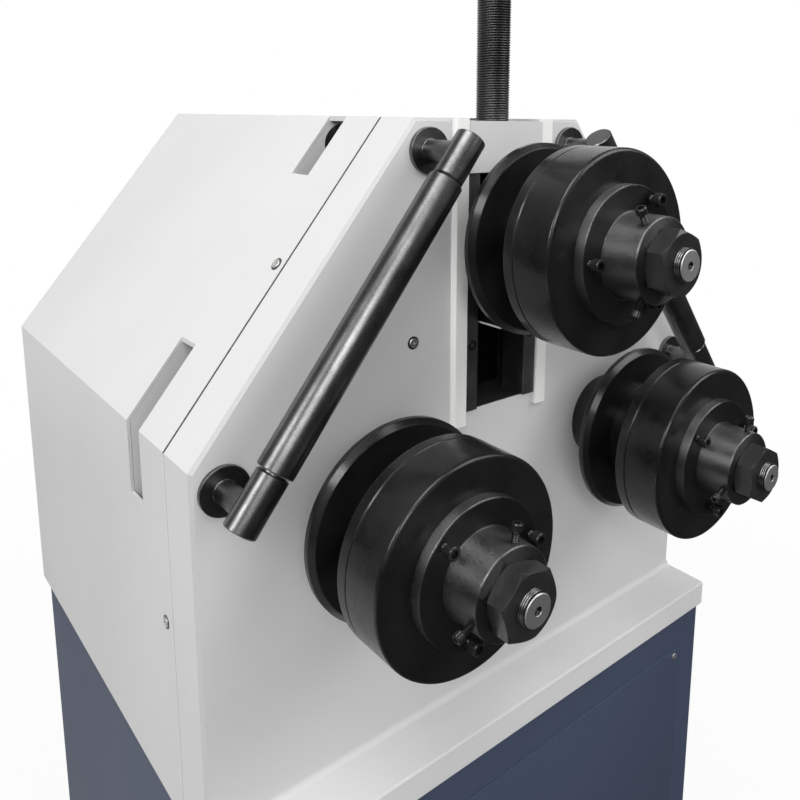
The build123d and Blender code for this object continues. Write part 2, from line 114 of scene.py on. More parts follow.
# Camera of the photograph: its place in metres, its turns in radians, and its lens in millimetres
CAMERA_PLACE = (-0.44655, -0.61767, 1.09248)
CAMERA_YAW, CAMERA_PITCH, CAMERA_ROLL = -0.7233, -0.1751, 0.0147
CAMERA_LENS, CAMERA_SENSOR = 35.22, 36
CAMERA_SHIFT = (-0.0974, -0.1798)
CAMERA_NEAR = 0.05


def place(x, back, height):
    """Point in metres from millimetres across, behind the front plate's face and above the tray."""
    return Vector((x * MM, FRONT_Y + back * MM, TRAY_TOP + height * MM))


def roll_axis(side):
    """Axis of a roll set, across and up."""
    low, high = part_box(f"{side}_clamp_collar")
    return (low.x + high.x) / 2, (low.z + high.z) / 2


def linear(code):
    """Linear colour from an sRGB hex value."""
    parts = [int(code[i : i + 2], 16) / 255 for i in (1, 3, 5)]
    return tuple(p / 12.92 if p <= 0.04045 else ((p + 0.055) / 1.055) ** 2.4 for p in parts)


def colour(name, description, code):
    """Colour property with an sRGB hex value as its default."""
    return bpy.props.FloatVectorProperty(
        name=name, description=description, subtype="COLOR", size=3, min=0, max=1, default=linear(code)
    )


def length(name, description, millimetres):
    """Length property with its default in millimetres."""
    return bpy.props.FloatProperty(
        name=name, description=description, subtype="DISTANCE", unit="LENGTH", default=millimetres * MM
    )


class BenderColours(bpy.types.PropertyGroup):
    """Colours of the machine's finishes."""

    light_enamel: colour("Light enamel", "Housing, front plate and bed tray", "#D0D0D0")
    # Whiter than the plate's enamel: partly the rails' own paint, partly a painted highlight for the light
    # they catch
    rail_highlight_enamel: colour("Rail highlight enamel", "Rails beside the slot", "#F1F1EF")
    slate_enamel: colour("Slate enamel", "Floor cabinet", "#414B61")
    plinth_enamel: colour("Plinth enamel", "Base under the cabinet", "#25272B")
    black_oxide: colour("Black oxide", "Rolls, collars and nuts", "#111111")
    rubbed_collar: colour("Rubbed collar", "Hubs and rims of the clamp collars", "#707070")
    black_nut: colour("Black nut", "Shaft nuts", "#262626")
    black_bar: colour("Black bar", "Guide bars and tie rods", "#727272")
    bright_steel: colour("Bright steel", "Turned shaft ends", "#D2D2D2")
    thread_steel: colour("Thread steel", "Thread crests on the shaft ends", "#808080")
    dark_steel: colour("Dark steel", "Carriage", "#2E2E2E")
    screw_steel: colour("Screw steel", "Lead screw", "#585858")
    keeper_steel: colour("Keeper steel", "Keeper strips", "#848484")
    # Slot shade: painted shade on the slot's walls and on the inner plate seen through the slot
    slot_shade: colour("Slot shade", "Inner bearing plate and the slot's walls", "#2A2B2C")
    zinc_steel: colour("Zinc plated steel", "Cover and panel screws", "#E2E2DF")
    wheel_black: colour("Wheel black", "Handwheel", "#1B1B1C")
    shadow_gap: colour("Shadow gap", "Joint between the cover and the front plate", "#606060")
    # Edge highlight: a painted highlight on the carriage's lower edge
    edge_highlight: colour("Edge highlight", "Lower edge of the carriage", "#E0E0E0")
    floor: colour("Floor", "Pale studio floor", "#CCCCCC")


class BenderSizes(bpy.types.PropertyGroup):
    """Sizes of the fasteners and threads."""

    flange_head_radius: length("Flange head radius", "Head of a screw on a clamp flange", 5.0)
    flange_head_height: length("Flange head height", "Head of a screw on a clamp flange", 6.5)
    flange_shank_radius: length("Flange shank radius", "Thread of a screw on a clamp flange", 3.0)
    flange_stand_out: length("Flange stand-out", "Bare thread under a head on a clamp flange", 4.0)
    flange_circle: length("Flange circle", "Radius of the circle of screws on a clamp flange", 44.5)
    hub_head_radius: length("Hub head radius", "Head of a screw on a hub", 4.0)
    hub_head_height: length("Hub head height", "Head of a screw on a hub", 5.0)
    hub_shank_radius: length("Hub shank radius", "Thread of a screw on a hub", 2.5)
    hub_stand_out: length("Hub stand-out", "Bare thread under a head on a hub", 7.5)
    hub_setback: length("Hub setback", "From a hub's nose to its screws", 5.5)
    button_radius: length("Button radius", "Head of a cover screw", 3.8)
    button_height: length("Button height", "Dome of a cover screw", 1.3)
    # Black ring of painted shade round each cover screw's head
    shade_ring_radius: length("Shade ring radius", "Black ring of painted shade round a cover screw", 5.2)
    keeper_screw_radius: length("Keeper screw radius", "Head of a keeper screw", 4.8)
    panel_half_width: length("Panel half width", "Cabinet front panel, from the middle to a side", 236.8)
    panel_drop: length("Panel drop", "From the tray down to the cabinet front panel", 62.0)
    panel_foot: length("Panel foot", "Under the cabinet front panel", 40.0)
    panel_thickness: length("Panel thickness", "Sheet of the cabinet front panel", 1.2)
    panel_corner: length("Panel corner", "Corner radius of the cabinet front panel", 5.0)
    shaft_pitch: length("Shaft pitch", "Thread pitch on the shaft ends", 1.5)
    shaft_crest: length("Shaft crest", "Outer radius of the thread on the shaft ends", 12.1)
    shaft_root: length("Shaft root", "Inner radius of the thread on the shaft ends", 11.3)
    screw_pitch: length("Screw pitch", "Thread pitch of the lead screw", 2.0)
    screw_crest: length("Screw crest", "Outer radius of the lead screw's thread", 14.0)
    screw_root: length("Screw root", "Inner radius of the lead screw's thread", 12.9)


def add(tree, kind, inputs=None, **settings):
    """Adds a node to a tree, sets its options, and fills its inputs with values or links."""
    made = tree.nodes.new(kind)
    for name, value in settings.items():
        setattr(made, name, value)
    for name, value in (inputs or {}).items():
        if isinstance(value, bpy.types.NodeSocket):
            tree.links.new(value, made.inputs[name])
        else:
            made.inputs[name].default_value = value
    return made


def figure(tree, operation, *values):
    """Output of a Math node with its inputs filled in order."""
    return add(tree, "ShaderNodeMath", dict(enumerate(values)), operation=operation).outputs[0]


def figure_vector(tree, operation, *values):
    """Output of a Vector Math node with its inputs filled in order."""
    made = add(tree, "ShaderNodeVectorMath", dict(enumerate(values)), operation=operation)
    return made.outputs["Value" if operation in ("LENGTH", "DOT_PRODUCT") else "Vector"]


def between(tree, value, start, end):
    """Mask that is 1 where a value lies between two limits."""
    return figure(tree, "COMPARE", value, (start + end) / 2, (end - start) / 2)


def remap(tree, value, start, end, low, high, kind="LINEAR"):
    """Value taken from one range to another."""
    limits = {"Value": value, "From Min": start, "From Max": end, "To Min": low, "To Max": high}
    return add(tree, "ShaderNodeMapRange", limits, interpolation_type=kind).outputs["Result"]


def noise(tree, place_on, scale, detail):
    """Noise pattern with so many waves to the metre."""
    inputs = {"Vector": place_on, "Scale": scale, "Detail": detail}
    return add(tree, "ShaderNodeTexNoise", inputs).outputs["Fac"]


def relief(tree, shader, height, strength, distance, normal=None):
    """Small bumps from a pattern, over the shape or over another normal."""
    inputs = {"Height": height, "Strength": strength, "Distance": distance}
    if normal is not None:
        inputs["Normal"] = normal
    bump = add(tree, "ShaderNodeBump", inputs)
    tree.links.new(bump.outputs["Normal"], shader.inputs["Normal"])


def new_material(name):
    """Empty material with its tree, a shader, and its Object coordinates."""
    material = bpy.data.materials.new(name)
    material.use_nodes = True
    tree = material.node_tree
    tree.nodes.clear()
    shader = add(tree, "ShaderNodeBsdfPrincipled")
    add(tree, "ShaderNodeOutputMaterial", {"Surface": shader.outputs["BSDF"]})
    coordinates = add(tree, "ShaderNodeTexCoord").outputs["Object"]
    return material, tree, shader, coordinates


def shade_of(base, share):
    """Colour with alpha, lighter or darker by a share."""
    return tuple(min(1.0, part * share) for part in base) + (1.0,)


def tone(tree, shader, factor, base, low, high):
    """Base colour that wanders between two shades of one colour."""
    ramp = add(tree, "ShaderNodeValToRGB", {"Fac": factor})
    ramp.color_ramp.elements[0].position = 0.3
    ramp.color_ramp.elements[1].position = 0.7
    ramp.color_ramp.elements[0].color = shade_of(base, low)
    ramp.color_ramp.elements[1].color = shade_of(base, high)
    tree.links.new(ramp.outputs["Color"], shader.inputs["Base Color"])


def inside(tree, coordinates, low, high):
    """Mask that is 1 inside a box and 0 outside it."""
    parts = add(tree, "ShaderNodeSeparateXYZ", {"Vector": coordinates}).outputs
    mask = 1.0
    for axis, start, end in zip("XYZ", low, high):
        mask = figure(tree, "MULTIPLY", between(tree, parts[axis], start, end), mask)
    return mask


def overlay(tree, shader, mask, tint):
    """Second base colour where a mask is 1."""
    under = shader.inputs["Base Color"].links[0].from_socket
    mixed = add(tree, "ShaderNodeMix", {0: mask, 6: under, 7: tuple(tint) + (1.0,)}, data_type="RGBA")
    tree.links.new(mixed.outputs[2], shader.inputs["Base Color"])


def enamel(name, base, roughness, zones=(), edges=1.0):
    """Sprayed enamel: satin, with fine orange peel and a barely uneven tone, tinted in its zones."""
    material, tree, shader, coordinates = new_material(name)
    # Orange peel of about 2 mm, drawn a little coarser than the real 1 mm so that it shows
    peel = noise(tree, coordinates, 450.0, 2.0)
    cloud = noise(tree, coordinates, 7.0, 4.0)
    tone(tree, shader, cloud, base, 0.97, 1.02)
    if edges < 1.0:
        # The bevel round the front is drawn a little greyer, as painted shade
        turned = add(tree, "ShaderNodeTexCoord").outputs["Normal"]
        facing = add(tree, "ShaderNodeSeparateXYZ", {"Vector": turned}).outputs["Y"]
        overlay(tree, shader, between(tree, facing, -0.9, -0.4), [part * edges for part in base])
    for tint, low, high in zones:
        overlay(tree, shader, inside(tree, coordinates, low, high), tint)
    sheen = remap(tree, cloud, 0.0, 1.0, roughness - 0.05, roughness + 0.05)
    tree.links.new(sheen, shader.inputs["Roughness"])
    relief(tree, shader, peel, 0.12, 0.4 * MM)
    shader.inputs["IOR"].default_value = 1.5
    shader.inputs["Specular IOR Level"].default_value = 0.25
    return material


def oil(shader, weight, roughness):
    """Thin film of oil over black oxide, which draws fine bright lines along edges."""
    shader.inputs["Coat Weight"].default_value = weight
    shader.inputs["Coat Roughness"].default_value = roughness
    shader.inputs["Coat IOR"].default_value = 1.47


def turned_steel(name, base, roughness, centre, film, bare=None, bands=(), soft=0.0):
    """Turned steel under oiled black oxide: a mottled sheen over rings of tool marks."""
    material, tree, shader, coordinates = new_material(name)
    moved = {"Vector": coordinates, "Location": (-centre[0], 0.0, -centre[1])}
    centred = add(tree, "ShaderNodeMapping", moved).outputs["Vector"]
    # Tool marks 0.2 mm apart in life, drawn 1.2 mm apart so that they show
    marks_scale = tau / (20 * 1.2 * MM)
    rings = add(
        tree,
        "ShaderNodeTexWave",
        {"Vector": centred, "Scale": marks_scale, "Distortion": 1.0, "Detail": 2.0, "Detail Scale": 0.4},
        wave_type="RINGS",
        rings_direction="Y",
    ).outputs["Fac"]
    cloud = noise(tree, centred, 30.0, 5.0)
    speck = noise(tree, centred, 900.0, 1.0)
    tone(tree, shader, cloud, base, 0.6, 1.5)
    # Oil lies unevenly, so the sheen is mottled as well as finely speckled
    mottle = figure(tree, "ADD", cloud, speck)
    rough = remap(tree, mottle, 0.7, 1.3, roughness - 0.14, roughness + 0.14)
    across = figure_vector(tree, "MULTIPLY", centred, (1, 0, 1))
    away = figure_vector(tree, "LENGTH", across)
    if bare is not None:
        # The black finish stops at the clamped length, and the end is bare steel,
        # apart from the centre hole and the thread's start, which stay black oxide
        bright, front = bare
        along = add(tree, "ShaderNodeSeparateXYZ", {"Vector": coordinates}).outputs["Y"]
        ahead = figure(tree, "LESS_THAN", along, front)
        face = between(tree, away, CENTRE_HOLE_RADIUS, END_FACE_RADIUS)
        clean = figure(tree, "MULTIPLY", ahead, face)
        overlay(tree, shader, clean, bright)
        tree.links.new(clean, shader.inputs["Metallic"])
        rough = add(tree, "ShaderNodeMix", {0: clean, 2: rough, 3: 0.52}).outputs[0]
    if bands:
        # Rings rubbed bright under thin oxide, where tool marks spread the highlights along the axis
        rubbed = 0.0
        for tint, start, end in bands:
            ring = between(tree, away, start, end)
            overlay(tree, shader, ring, tint)
            rubbed = figure(tree, "MAXIMUM", ring, rubbed)
        tree.links.new(rubbed, shader.inputs["Metallic"])
        lay = figure_vector(tree, "ADD", across, (0, 30 * MM, 0))
        tree.links.new(lay, shader.inputs["Tangent"])
        shader.inputs["Anisotropic"].default_value = 0.6
    tree.links.new(rough, shader.inputs["Roughness"])
    broken = None
    if soft:
        # Broken edges catch a thin line of light
        broken = add(tree, "ShaderNodeBevel", {"Radius": soft}, samples=6).outputs["Normal"]
    relief(tree, shader, rings, 0.2, 0.2 * MM, broken)
    oil(shader, *film)
    shader.inputs["Specular IOR Level"].default_value = 0.35
    return material


def drawn_steel(name, base, roughness, stretch, metallic=1.0, painted_highlight=None, grain=0.0):
    """Drawn or milled steel: fine streaks along one direction over a cloudy or grainy tone."""
    material, tree, shader, coordinates = new_material(name)
    streaked = add(tree, "ShaderNodeMapping", {"Vector": coordinates, "Scale": stretch}).outputs["Vector"]
    # Draw lines about 1 mm wide, coarser than the real ones so that they show
    streak = noise(tree, streaked, 1000.0, 2.0)
    cloud = noise(tree, coordinates, 40.0, 5.0)
    if grain:
        # Grains about 1 mm across, coarser than the real ones so that they show
        speck = noise(tree, coordinates, 900.0, 1.0)
        cloud = add(tree, "ShaderNodeMix", {0: grain, 2: cloud, 3: speck}).outputs[0]
    tone(tree, shader, cloud, base, 0.8 - grain * 0.4, 1.25 + grain * 0.6)
    sheen = remap(tree, streak, 0.0, 1.0, roughness - 0.08, roughness + 0.08)
    tree.links.new(sheen, shader.inputs["Roughness"])
    relief(tree, shader, streak, 0.08, 0.2 * MM)
    shader.inputs["Metallic"].default_value = metallic
    if not metallic:
        oil(shader, 0.4, 0.25)
    if painted_highlight is not None:
        # A pale strip with no metal along one edge: a painted highlight
        tint, low, high = painted_highlight
        rubbed = inside(tree, coordinates, low, high)
        overlay(tree, shader, rubbed, tint)
        tree.links.new(figure(tree, "SUBTRACT", 1.0, rubbed), shader.inputs["Metallic"])
    return material


def finish(piece, *materials):
    """Gives a piece its materials, in place of any that it has."""
    piece.data.materials.clear()
    for material in materials:
        piece.data.materials.append(material)


def open_chain(name, points):
    """Chain of edges through points, drawn by pulling a single vertex along."""
    bpy.ops.object.select_all(action="DESELECT")
    bpy.ops.mesh.primitive_plane_add(size=MM, location=(0, 0, 0))
    piece = bpy.context.object
    piece.name = name
    bpy.ops.object.mode_set(mode="EDIT")
    bpy.ops.mesh.select_mode(type="VERT")
    bpy.ops.mesh.select_all(action="SELECT")
    bpy.ops.mesh.merge(type="CENTER")
    bpy.ops.transform.translate(value=points[0])
    for start, end in zip(points, points[1:]):
        step = Vector(end) - Vector(start)
        bpy.ops.mesh.extrude_region_move(TRANSFORM_OT_translate={"value": step})
    return piece


def close_up(piece, angle=30):
    """Merges doubles, turns the faces outwards and shades a piece smooth between its edges."""
    bpy.ops.object.mode_set(mode="EDIT")
    bpy.ops.mesh.select_all(action="SELECT")
    bpy.ops.mesh.remove_doubles(threshold=1e-6)
    bpy.ops.mesh.normals_make_consistent(inside=False)
    bpy.ops.object.mode_set(mode="OBJECT")
    bpy.ops.object.shade_smooth_by_angle(angle=radians(angle))
    return piece


def lathe(name, outline, steps):
    """Turned piece about Z from (radius, height) points in millimetres."""
    piece = open_chain(name, [(r * MM, 0, h * MM) for r, h in outline])
    bpy.ops.mesh.select_all(action="SELECT")
    bpy.ops.mesh.spin(steps=steps, angle=tau, center=(0, 0, 0), axis=(0, 0, 1), use_auto_merge=True)
    return close_up(piece)


def sink_hexagon(piece, across, floor, top):
    """Cuts a hexagon socket down from a screw's top, in millimetres."""
    bpy.ops.object.select_all(action="DESELECT")
    bpy.ops.mesh.primitive_cylinder_add(
        vertices=6,
        radius=across / 2 / cos(radians(30)) * MM,
        depth=(top - floor + 1) * MM,
        location=(0, 0, (top + floor + 1) / 2 * MM),
    )
    cutter = bpy.context.object
    bpy.ops.object.select_all(action="DESELECT")
    piece.select_set(True)
    bpy.context.view_layer.objects.active = piece
    cut = piece.modifiers.new("socket", "BOOLEAN")
    cut.operation = "DIFFERENCE"
    cut.solver = "EXACT"
    cut.object = cutter
    bpy.ops.object.modifier_apply(modifier=cut.name)
    bpy.data.objects.remove(cutter, do_unlink=True)
    return piece


def aim(point, outward, turn=0.0):
    """Matrix that stands a piece modelled along Z on a point, facing outward."""
    return Matrix.Translation(point) @ Vector(outward).to_track_quat("Z", "Y").to_matrix().to_4x4() @ (
        Matrix.Rotation(turn, 4, "Z")
    )


def copies(pattern, name, matrices):
    """Copies of a modelled piece at several places, joined into one object; the pattern goes."""
    made = []
    for matrix in matrices:
        copy = bpy.data.objects.new(name, pattern.data.copy())
        copy.data.transform(matrix)
        bpy.context.scene.collection.objects.link(copy)
        made.append(copy)
    bpy.ops.object.select_all(action="DESELECT")
    for copy in made:
        copy.select_set(True)
    bpy.context.view_layer.objects.active = made[0]
    if len(made) > 1:
        bpy.ops.object.join()
    made[0].name = name
    return made[0]


def drop(pattern):
    """Removes a pattern once its copies are made."""
    bpy.data.objects.remove(pattern, do_unlink=True)


class BENDER_OT_node_finishes(bpy.types.Operator):
    """Gives every solid of the machine its paint or metal finish"""

    bl_idname = "bender.node_finishes"
    bl_label = "Paint and metal finishes"

    def execute(self, context):
        tints = context.scene.bender_colours
        light_tint, oxide = tuple(tints.light_enamel), tuple(tints.black_oxide)
        low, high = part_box("housing_cover")
        half_slot = -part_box("keeper_left")[0].x + 0.1 * MM
        # Painted shade on the slot's walls
        slot = (
            tuple(tints.slot_shade),
            (-half_slot, FRONT_Y + PAST, low.z),
            (half_slot, high.y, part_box("screw_nut_block")[0].z),
        )
        # Painted shade on the inner bearing plate where it shows through the slot
        behind_slot = (
            tuple(tints.slot_shade),
            (-BEHIND_SLOT_HALF * MM, FRONT_Y, low.z),
            (BEHIND_SLOT_HALF * MM, high.y, TRAY_TOP + BEHIND_SLOT_HEIGHT * MM),
        )
        # Painted shade along the seam between the cover and the front plate, on its slope
        joint = (
            tuple(tints.shadow_gap),
            (low.x - PAST, PLATE_HIGH.y - SEAM_HALF, TRAY_TOP + SHOULDER_HEIGHT * MM),
            (high.x + PAST, PLATE_HIGH.y + SEAM_HALF, high.z + PAST),
        )
        # Painted highlight: a pale strip along the carriage's lower edge
        low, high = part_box("carriage_block")
        painted_highlight = (
            tuple(tints.edge_highlight),
            (low.x, low.y - PAST, low.z - PAST),
            (high.x, high.y + PAST, low.z + EDGE_HIGHLIGHT_DEPTH),
        )
        light = enamel("light_grey_satin_enamel", light_tint, 0.42)
        slotted = enamel("light_grey_slotted_plate", light_tint, 0.42, (slot, joint), 0.78)
        cover = enamel("light_grey_cover_enamel", light_tint, 0.42, (joint,))
        slate = enamel("slate_blue_satin_enamel", tuple(tints.slate_enamel), 0.45)
        base = enamel("black_plinth_enamel", tuple(tints.plinth_enamel), 0.5)
        wheel = enamel("black_wheel_enamel", tuple(tints.wheel_black), 0.35)
        inner = enamel("light_grey_inner_plate", light_tint, 0.5, (behind_slot,))
        # Whiter rail enamel: partly the rails' own paint, partly a painted highlight for the light they catch
        rail = enamel("white_rail_enamel_highlight", tuple(tints.rail_highlight_enamel), 0.35)
        milled = drawn_steel("dark_milled_steel", tuple(tints.dark_steel), 0.42, (1.0, 1.0, 0.05), painted_highlight=painted_highlight)
        keeper = drawn_steel("grey_milled_steel", tuple(tints.keeper_steel), 0.5, (1.0, 1.0, 0.05))
        rolled = drawn_steel("oiled_screw_steel", tuple(tints.screw_steel), 0.4, (1.0, 1.0, 1.0))
        bar = drawn_steel("black_oxide_drawn_bar", tuple(tints.black_bar), 0.32, (0.2, 1.0, 0.2), grain=0.4)
        rod = drawn_steel("black_oxide_tie_rod", oxide, 0.5, (1.0, 0.05, 1.0))
        plain = {
            "front_plate": slotted,
            "housing_cover": cover,
            "inner_bearing_plate": inner,
            "slot_rail_left": rail,
            "slot_rail_right": rail,
            "cabinet_body": slate,
            "cabinet_back_panel": slate,
            "cabinet_plinth": base,
            "handwheel": wheel,
            "keeper_left": keeper,
            "keeper_right": keeper,
            "carriage_block": milled,
            "lead_screw": rolled,
            "tie_rods": rod,
        }
        for name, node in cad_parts.items():
            if "guide" in name:
                finish(node, bar)
            elif name.split("_")[0] not in SIDES and "bearing_collar" not in name:
                finish(node, plain.get(name, light))
        rubbed, bright, nut_tint = (
            tuple(tint) for tint in (tints.rubbed_collar, tints.bright_steel, tints.black_nut)
        )
        for side in SIDES:
            centre = roll_axis(side)
            low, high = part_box(f"{side}_clamp_collar")
            rim = (high.x - low.x) / 2
            bands = ((rubbed, 0.0, HUB_EDGE), (rubbed, rim - RIM_DEPTH, rim + PAST))
            dull = turned_steel(
                f"black_oxide_roll_{side}", oxide, 0.4, centre, (0.5, 0.16), soft=ROUNDED_EDGE
            )
            finishes = {
                "clamp_collar": turned_steel(
                    f"black_oxide_collar_{side}",
                    oxide,
                    0.45,
                    centre,
                    (0.3, 0.25),
                    bands=bands,
                    soft=BROKEN_EDGE,
                ),
                "shaft_nut": turned_steel(
                    f"black_oxide_nut_{side}", nut_tint, 0.42, centre, (0.35, 0.2), soft=BROKEN_EDGE
                ),
                "shaft": turned_steel(
                    f"turned_shaft_{side}", oxide, 0.33, centre, (0.0, 0.25), bare=(bright, low.y)
                ),
            }
            for name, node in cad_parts.items():
                if name.startswith(f"{side}_"):
                    finish(node, finishes.get(name.removeprefix(f"{side}_"), dull))
                elif name == f"bearing_collar_{side}":
                    finish(node, dull)
        return {"FINISHED"}


def cap_screw(name, head, height, shank, stand, across):
    """Socket cap screw that stands out of a face at the origin, in millimetres."""
    # Bare thread in 1 mm ridges, then the head with broken edges
    ridges = []
    for i in range(int(stand)):
        ridges += [(shank - 0.5, i), (shank, i + 0.5)]
    tip = stand + height
    outline = [(0, -1), (shank - 0.5, -1)] + ridges + [(shank - 0.5, stand), (head - 0.4, stand)]
    outline += [(head, stand + 0.4), (head, tip - 0.7), (head - 0.7, tip), (0, tip)]
    steps = 36
    piece = lathe(name, outline, steps)
    # Knurl: every second line of the head's side is drawn in
    bpy.ops.object.mode_set(mode="EDIT")
    bpy.ops.mesh.select_mode(type="VERT")
    bpy.ops.mesh.select_all(action="DESELECT")
    bpy.ops.object.mode_set(mode="OBJECT")
    for vertex in piece.data.vertices:
        line = round(atan2(vertex.co.y, vertex.co.x) / tau * steps)
        vertex.select = line % 2 == 1 and hypot(vertex.co.x, vertex.co.y) > (head - 0.1) * MM
    bpy.ops.object.mode_set(mode="EDIT")
    bpy.ops.transform.resize(value=(0.94, 0.94, 1), center_override=(0, 0, 0))
    bpy.ops.object.mode_set(mode="OBJECT")
    sink_hexagon(piece, across, tip - 0.55 * height, tip)
    return close_up(piece)


class BENDER_OT_clamp_screws(bpy.types.Operator):
    """Adds the cap screws that stand out of the clamp collars' flanges and hubs"""

    bl_idname = "bender.clamp_screws"
    bl_label = "Clamp screws"

    def execute(self, context):
        sizes = context.scene.bender_sizes
        on_flange = cap_screw(
            "flange_screw",
            sizes.flange_head_radius / MM,
            sizes.flange_head_height / MM,
            sizes.flange_shank_radius / MM,
            sizes.flange_stand_out / MM,
            5.0,
        )
        on_hub = cap_screw(
            "hub_screw",
            sizes.hub_head_radius / MM,
            sizes.hub_head_height / MM,
            sizes.hub_shank_radius / MM,
            sizes.hub_stand_out / MM,
            4.0,
        )
        oxide = tuple(context.scene.bender_colours.black_oxide)
        black = drawn_steel("black_oxide_screw", oxide, 0.42, (1, 1, 1), 0.0)
        for side in SIDES:
            x, z = roll_axis(side)
            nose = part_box(f"{side}_clamp_collar")[0].y
            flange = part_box(f"{side}_main_roll")[0].y - FLANGE_THICKNESS
            flange_spots, hub_spots = [], []
            for i in range(SCREWS_ROUND):
                a, b = (radians(turn) + tau * i / SCREWS_ROUND for turn in SCREW_TURNS[side])
                across = Vector((cos(a), 0, sin(a))) * sizes.flange_circle
                flange_spots.append(aim(Vector((x, flange, z)) + across, (0, -1, 0), a))
                out = Vector((cos(b), 0, sin(b)))
                foot = Vector((x, nose + sizes.hub_setback, z)) + out * HUB_RADIUS
                hub_spots.append(aim(foot, out, 0.4))
            for pattern, spots in ((on_flange, flange_spots), (on_hub, hub_spots)):
                screws = copies(pattern, f"{side}_{pattern.name}s", spots)
                finish(screws, black)
                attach(screws, f"{side}_roll")
        drop(on_flange)
        drop(on_hub)
        return {"FINISHED"}


class BENDER_OT_shaft_threads(bpy.types.Operator):
    """Cuts the fine thread that shows on each shaft end ahead of its nut"""

    bl_idname = "bender.shaft_threads"
    bl_label = "Shaft end threads"

    def execute(self, context):
        sizes = context.scene.bender_sizes
        tints = context.scene.bender_colours
        root, crest, pitch = sizes.shaft_root, sizes.shaft_crest, sizes.shaft_pitch
        turns, steps = 4, 60
        # Crests are rubbed bright, and the roots stay black with oil
        crests = (tuple(tints.thread_steel), (root + crest) / 2, crest + PAST)
        oxide = tuple(tints.black_oxide)
        for side in SIDES:
            x, z = roll_axis(side)
            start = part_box(f"{side}_shaft")[0].y + 0.5 * MM + (turns + 1) * pitch
            thread = helix(f"{side}_shaft_thread", root, crest, pitch, turns, steps)
            thread.data.transform(aim((x, start, z), (0, -1, 0)))
            oiled = turned_steel(f"oiled_thread_{side}", oxide, 0.4, (x, z), (0.2, 0.25), bands=(crests,))
            finish(thread, oiled)
            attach(thread, f"{side}_roll")
        return {"FINISHED"}


def helix(name, root, crest, pitch, turns, steps):
    """Thread about Z that starts at the origin: one tooth swept up by the Screw modifier."""
    tooth = [(root, 0, 0), (crest, 0, 0.45 * pitch), (crest, 0, 0.55 * pitch), (root, 0, pitch)]
    piece = open_chain(name, tooth)
    bpy.ops.object.mode_set(mode="OBJECT")
    sweep = piece.modifiers.new("thread", "SCREW")
    sweep.axis = "Z"
    sweep.angle = tau
    sweep.screw_offset = pitch
    sweep.iterations = turns
    sweep.steps = steps
    sweep.render_steps = steps
    sweep.use_merge_vertices = True
    bpy.ops.object.modifier_apply(modifier=sweep.name)
    return close_up(piece, 80)


class BENDER_OT_lead_screw(bpy.types.Operator):
    """Builds the threaded lead screw with the neck that turns in the carriage"""

    bl_idname = "bender.lead_screw"
    bl_label = "Lead screw"

    def execute(self, context):
        sizes = context.scene.bender_sizes
        low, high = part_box("lead_screw")
        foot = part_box("carriage_block")[1].z
        x, y = (low.x + high.x) / 2, (low.y + high.y) / 2
        # Heights in millimetres above the carriage: the neck's foot, the collar and the screw's top
        neck_radius, neck_foot, tall = 9, (low.z - foot) / MM, (high.z - foot) / MM
        collar_foot, collar_top = 0.3, 2
        root, crest = sizes.screw_root / MM, sizes.screw_crest / MM
        outline = [
            (0, neck_foot),
            (neck_radius, neck_foot),
            (neck_radius, collar_foot),
            (crest - 1, collar_foot),
            (crest - 1, collar_top),
            (root, collar_top),
            (root, tall - 2),
            (root - 1, tall),
            (2, tall),
            (0, tall - 3),
        ]
        steps = 48
        core = lathe("lead_screw_thread", outline, steps)
        turns = int((tall - 2 * collar_top) * MM / sizes.screw_pitch)
        thread = helix(
            "lead_screw_ridge", sizes.screw_root, sizes.screw_crest, sizes.screw_pitch, turns, steps
        )
        thread.data.transform(Matrix.Translation((0, 0, 1.5 * MM)))
        bpy.ops.object.select_all(action="DESELECT")
        thread.select_set(True)
        core.select_set(True)
        bpy.context.view_layer.objects.active = core
        bpy.ops.object.join()
        core.data.transform(Matrix.Translation((x, y, foot)))
        finish(core, bpy.data.materials["oiled_screw_steel"])
        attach(core, "feed_screw")
        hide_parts("lead_screw")
        return {"FINISHED"}


class BENDER_OT_keeper_screws(bpy.types.Operator):
    """Adds the flush socket screw near the lower end of each keeper strip"""

    bl_idname = "bender.keeper_screws"
    bl_label = "Keeper screws"

    def execute(self, context):
        radius = context.scene.bender_sizes.keeper_screw_radius / MM
        outline = [(0, -1), (radius, -1), (radius, 0.1), (radius - 0.3, 0.4), (0, 0.4)]
        pattern = lathe("keeper_screw", outline, 32)
        sink_hexagon(pattern, 3.0, -0.8, 0.4)
        close_up(pattern)
        finish(pattern, bpy.data.materials["black_oxide_screw"])
        low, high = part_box("keeper_left")
        middle = -(low.x + high.x) / 2
        height = low.z + KEEPER_SCREW_RISE
        spots = [aim((side * middle, low.y, height), (0, -1, 0), 0.3) for side in (-1, 1)]
        screws = copies(pattern, "keeper_screws", spots)
        drop(pattern)
        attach(screws, "frame")
        return {"FINISHED"}


